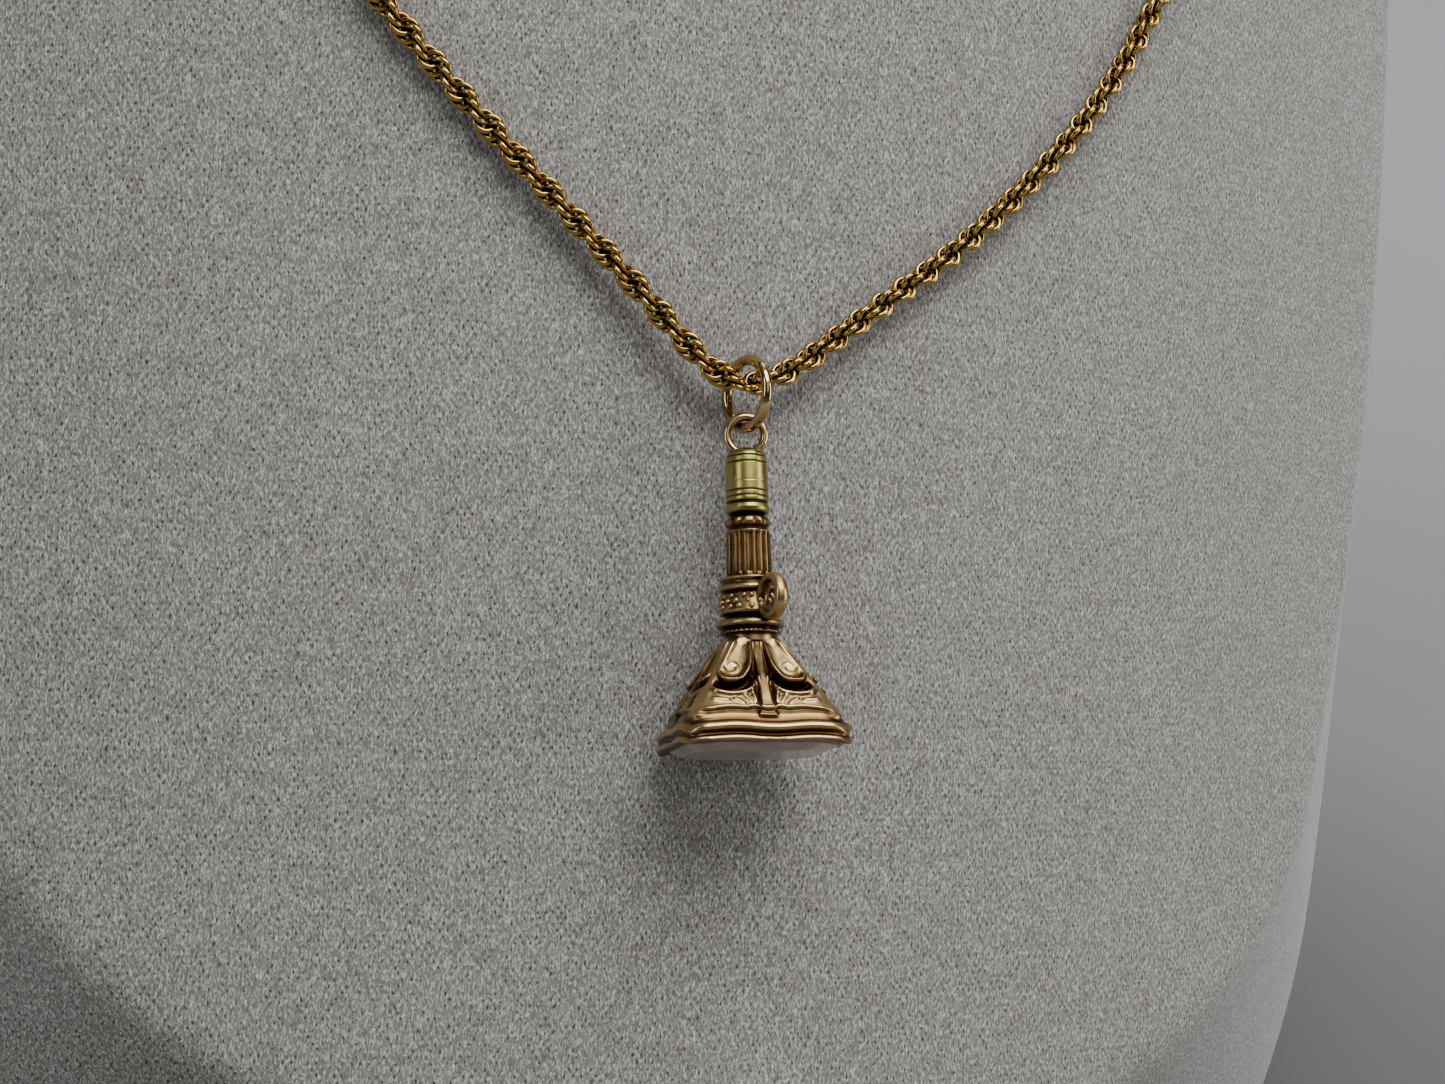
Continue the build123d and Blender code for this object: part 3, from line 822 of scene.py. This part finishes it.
def section_loop(half_width, half_side, corner):
    """Rounded rectangle, from one end of the front face: a row for each place, with its two
    coordinates, its outward direction, its place along the face, its distance to the middle of the
    nearest corner, and the face's number."""
    rows = []
    halves = (half_width, half_side)
    for face in range(4):
        half, reach = halves[face % 2], halves[(face + 1) % 2]
        flat = half - corner
        edge = flat + corner * pi / 4
        for a in np.linspace(-edge, edge, FACE_SAMPLES + CORNER_SAMPLES, endpoint=False):
            if abs(a) <= flat:
                local, normal = (a, reach), (0.0, 1.0)
            else:
                angle = (abs(a) - flat) / corner
                local = (np.sign(a) * (flat + corner * sin(angle)), reach - corner * (1 - cos(angle)))
                normal = (np.sign(a) * sin(angle), cos(angle))
            quarter = -face * pi / 2
            rows.append((local[0] * cos(quarter) - local[1] * sin(quarter),
                         local[0] * sin(quarter) + local[1] * cos(quarter),
                         normal[0] * cos(quarter) - normal[1] * sin(quarter),
                         normal[0] * sin(quarter) + normal[1] * cos(quarter),
                         a, edge - abs(a), face))
    return np.array(rows)


def lumps(points, size, seed):
    """Smooth unevenness, from a few waves in fixed directions."""
    waves = np.random.default_rng(seed)
    total = np.zeros(points.shape[:-1])
    for _ in range(9):
        direction = waves.normal(size=3)
        direction *= waves.uniform(0.6, 1.6) / (np.linalg.norm(direction) * size)
        total += np.sin(points @ direction + waves.uniform(0, 2 * pi))
    return total / 4


def between(top, low, share):
    return top + share * (low - top)


def skirt_levels():
    """For each ring of the skirt: its level, its share of the slope, and how far the base stands
    out there."""
    shares = np.linspace(0, 1, SLOPE_ROWS)
    slope = [(between(SKIRT_START, SKIRT_END, share), share, 0.0) for share in shares]
    base = [(SKIRT_END + down, 1.0, out) for down, out in zip(*profile(BASE_PROFILE, BASE_STEP))]
    return slope + base[1:]


def add_skirt(shape):
    slope_length = hypot(LOW_HALF[1] - TOP_HALF[1], SKIRT_END - SKIRT_START)
    grid = []
    heights = []
    dullness = []
    for down, share, out in skirt_levels():
        half_width, half_side = (between(top, low, share) + out for top, low in zip(TOP_HALF, LOW_HALF))
        loop = section_loop(half_width, half_side, between(TOP_CORNER, LOW_CORNER, share))
        px, py, nx, ny, a, gap, face = loop.T
        wide = np.where(face % 2 == 0, 1.0, LOW_HALF[0] / LOW_HALF[1])
        height, dull = relief(a * wide, np.full(px.shape, share * slope_length), gap, face > 0)
        fade = float(np.clip(1 - (down - SKIRT_END) / RELIEF_FADE, 0, 1))
        height = height * fade
        spot = np.stack([px, py, np.full(px.shape, down)], axis=1)
        for rise, size, seed in CAST_LUMPS:
            height = height + rise * lumps(spot, size, seed)
        heights.append(height + out)
        dullness.append(dull * fade)
        below = np.clip((down - SKIRT_END + 0.6) / 0.8, 0, 1)
        # The edges of the base rise and fall a little
        wave = EDGE_WAVE * below * (down < BASE_END - 0.15) * np.sin(1.1 * a * wide + 1.1 + 1.7 * face)
        # The ledge and the rim swell into one round foot at each corner
        foot = np.clip((down - SKIRT_END + 0.4) / 1.2, 0, 1)
        swell = foot * ridge(gap, 1.0) * (0.1 + 0.5 * np.clip((down - SKIRT_END) / 1.6, 0, 1) - out)
        drop = FOOT_DROP * foot * ridge(gap, 0.6)
        lean = RELIEF_LEAN * (1 - below)
        outward = height * sqrt(1 - lean ** 2) + swell
        grid.append(on_seal(px + nx * outward, py + ny * outward, down + wave - lean * height + drop))
    for inset, level in ((LIP_INSET, LIP_LEVEL), (POCKET_INSET, LIP_LEVEL - POCKET_BEVEL),
                         (POCKET_INSET, POCKET_LEVEL)):
        loop = section_loop(LOW_HALF[0] - inset, LOW_HALF[1] - inset, LOW_CORNER)
        grid.append(on_seal(loop[:, 0], loop[:, 1], np.full(len(loop), level)))
    # Low places in the relief are darker: painted shade, and patina
    patina_and_shade = np.clip(recess(np.array(heights), *RELIEF_REACH, RELIEF_DEPTH) + np.array(dullness), 0, 1)
    patina_and_shade = np.concatenate([patina_and_shade, np.repeat(patina_and_shade[-1:], len(grid) - len(patina_and_shade), axis=0)])
    shape.add_grid(np.array(grid), start_cap=True, end_cap=True, patina_and_shade=patina_and_shade)


def add_seal_body(material):
    stem_shape = Shape()
    lathe(stem_shape, *profile(STEM_ROWS, STEM_STEP), STEM_SEGMENTS, stem_ripple, STEM_REACH, STEM_DULL)
    add_pebbles(stem_shape)
    add_loop(stem_shape)
    stem = stem_shape.piece("seal_stem", material, "seal", "seal_gold")
    skirt_shape = Shape()
    add_skirt(skirt_shape)
    skirt = skirt_shape.piece("seal_skirt", material, "seal", "seal_gold")
    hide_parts("seal_body")
    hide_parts("seal_body")


# Floor and light

COVE_START = 0.2
COVE_RADIUS = 0.3
COVE_STEPS = 24
COVE_TOP = 2.0
COVE_HALF = 3.0


def add_floor():
    """Pale paper that curves up behind the bust, with a painted shadow that darkens it towards the bust.
    """
    material, graph, shader = new_material("paper")
    place = graph.place()
    reach = graph.add("ShaderNodeVectorMath", {0: place}, operation="LENGTH").outputs["Value"]
    # Painted shadow: the paper's tone falls from pale far away to dark grey near the bust
    tone = graph.ramp(graph.span(reach, (0.08, 0.6)),
                      [(0.0, (0.09, 0.088, 0.086)), (0.23, (0.225, 0.226, 0.227)),
                       (0.56, (0.295, 0.302, 0.312)), (1.0, (0.39, 0.403, 0.425))])
    cloud = graph.span(graph.noise(place, scale=6, detail=3), (0.3, 0.7), (0.0, 0.5))
    color = graph.mix(cloud, tone, (0.9, 0.9, 0.9), "MULTIPLY")
    graph.feed(shader, {"Base Color": color, "Roughness": 0.8})
    outline = [(-COVE_HALF, 0.0), (COVE_START, 0.0)]
    for angle in np.linspace(0, pi / 2, COVE_STEPS):
        outline.append((COVE_START + COVE_RADIUS * sin(angle), COVE_RADIUS * (1 - cos(angle))))
    outline.append((COVE_START + COVE_RADIUS, COVE_TOP))
    vertices = [(x, y, z) for y, z in outline for x in (-COVE_HALF, COVE_HALF)]
    faces = [(2 * row, 2 * row + 1, 2 * row + 3, 2 * row + 2) for row in range(len(outline) - 1)]
    floor = new_object("paper", smooth_mesh("paper", vertices, faces, material))


def add_light(name, place, target, size, power, color):
    data = bpy.data.lights.new(name, "AREA")
    data.shape = "RECTANGLE"
    data.size, data.size_y = size
    data.energy = power
    data.color = color
    light = new_object(name, data)
    light.location = place
    light.rotation_euler = (Vector(target) - Vector(place)).to_track_quat("-Z", "Y").to_euler()
    light.visible_camera = False


def add_world(stops):
    """Soft room light that changes with height: each stop is a height share and a colour."""
    world = bpy.data.worlds.new("world")
    world.use_nodes = True
    graph = Graph(world.node_tree)
    direction = graph.axes(graph.add("ShaderNodeTexCoord", {}).outputs["Generated"])
    tone = graph.ramp(graph.span(direction["Z"], (-1.0, 1.0)), stops)
    graph.feed(graph.nodes["Background"], {"Color": tone})
    bpy.context.scene.world = world


def dress_node(name, material):
    """Gives a node that keeps its own shape its material."""
    NODES[name].data.materials.clear()
    NODES[name].data.materials.append(material)


# The places that the lights point to
FRONT_SPOT = (0, -0.05, 0.08)
PAPER_SPOT = (0.1, 0.5, 0.25)

add_camera()
add_floor()
add_world([(0.3, (0.06, 0.055, 0.05)), (0.5, (0.16, 0.155, 0.15)), (0.56, (0.05, 0.05, 0.05)),
           (0.8, (0.035, 0.035, 0.037)), (0.92, (0.2, 0.21, 0.22)), (1.0, (0.32, 0.33, 0.35))])
add_light("skylight", (0.05, -0.42, 0.95), FRONT_SPOT, size=(0.8, 0.5), power=10.9, color=(1.0, 1.0, 1.0))
add_light("window", (0.75, -0.5, 0.35), FRONT_SPOT, size=(0.25, 0.6), power=2.8, color=(1.0, 0.98, 0.95))
add_light("lamp", (-0.8, -0.3, 0.4), FRONT_SPOT, size=(0.15, 0.5), power=1.1, color=(0.95, 0.97, 1.0))
add_light("card", (-0.02, -0.61, 0.48), FRONT_SPOT, size=(0.4, 0.3), power=0.24, color=(1.0, 0.97, 0.92))
add_light("backlight", (0.3, 0.3, 1.0), PAPER_SPOT, size=(0.6, 0.3), power=2.3, color=(0.97, 0.99, 1.0))

cover_bust(suede())
chain_gold = metal("chain_gold", bright=(0.52, 0.345, 0.08), dark=(0.02, 0.006, 0.001),
                   roughness=(0.08, 0.18), crevice=0.95 * MM, grain_scale=5000,
                   grain_depth=0.006 * MM, tint=(1.0, 0.82, 0.72))
for chain_name in ROUTES:
    add_chain(chain_name, chain_gold)
dress_node("clasp", chain_gold)
add_jump_ring(metal("ring_gold", bright=(0.55, 0.385, 0.17), dark=(0.05, 0.02, 0.006),
                    roughness=(0.06, 0.15), crevice=0.5 * MM, grain_scale=3000,
                    grain_depth=0.006 * MM))
add_bail(metal("bail_gold", bright=(0.62, 0.42, 0.23), dark=(0.08, 0.03, 0.01),
               roughness=(0.1, 0.22), crevice=0.6 * MM, grain_scale=3000, grain_depth=0.012 * MM))
add_cap(metal("cap_gold", bright=(0.41, 0.335, 0.11), dark=(0.04, 0.022, 0.004),
              roughness=(0.26, 0.4), crevice=0.35 * MM, grain_scale=3500,
              grain_depth=0.008 * MM, tint=(0.82, 0.95, 0.68)))
add_seal_body(metal("seal_gold", bright=(0.5, 0.35, 0.16), dark=(0.055, 0.022, 0.005),
                    roughness=(0.23, 0.38), crevice=1.3 * MM, grain_scale=2500,
                    grain_depth=0.006 * MM, tint=(0.9, 0.82, 0.68)))
dress_node("seal_stone", chalcedony())
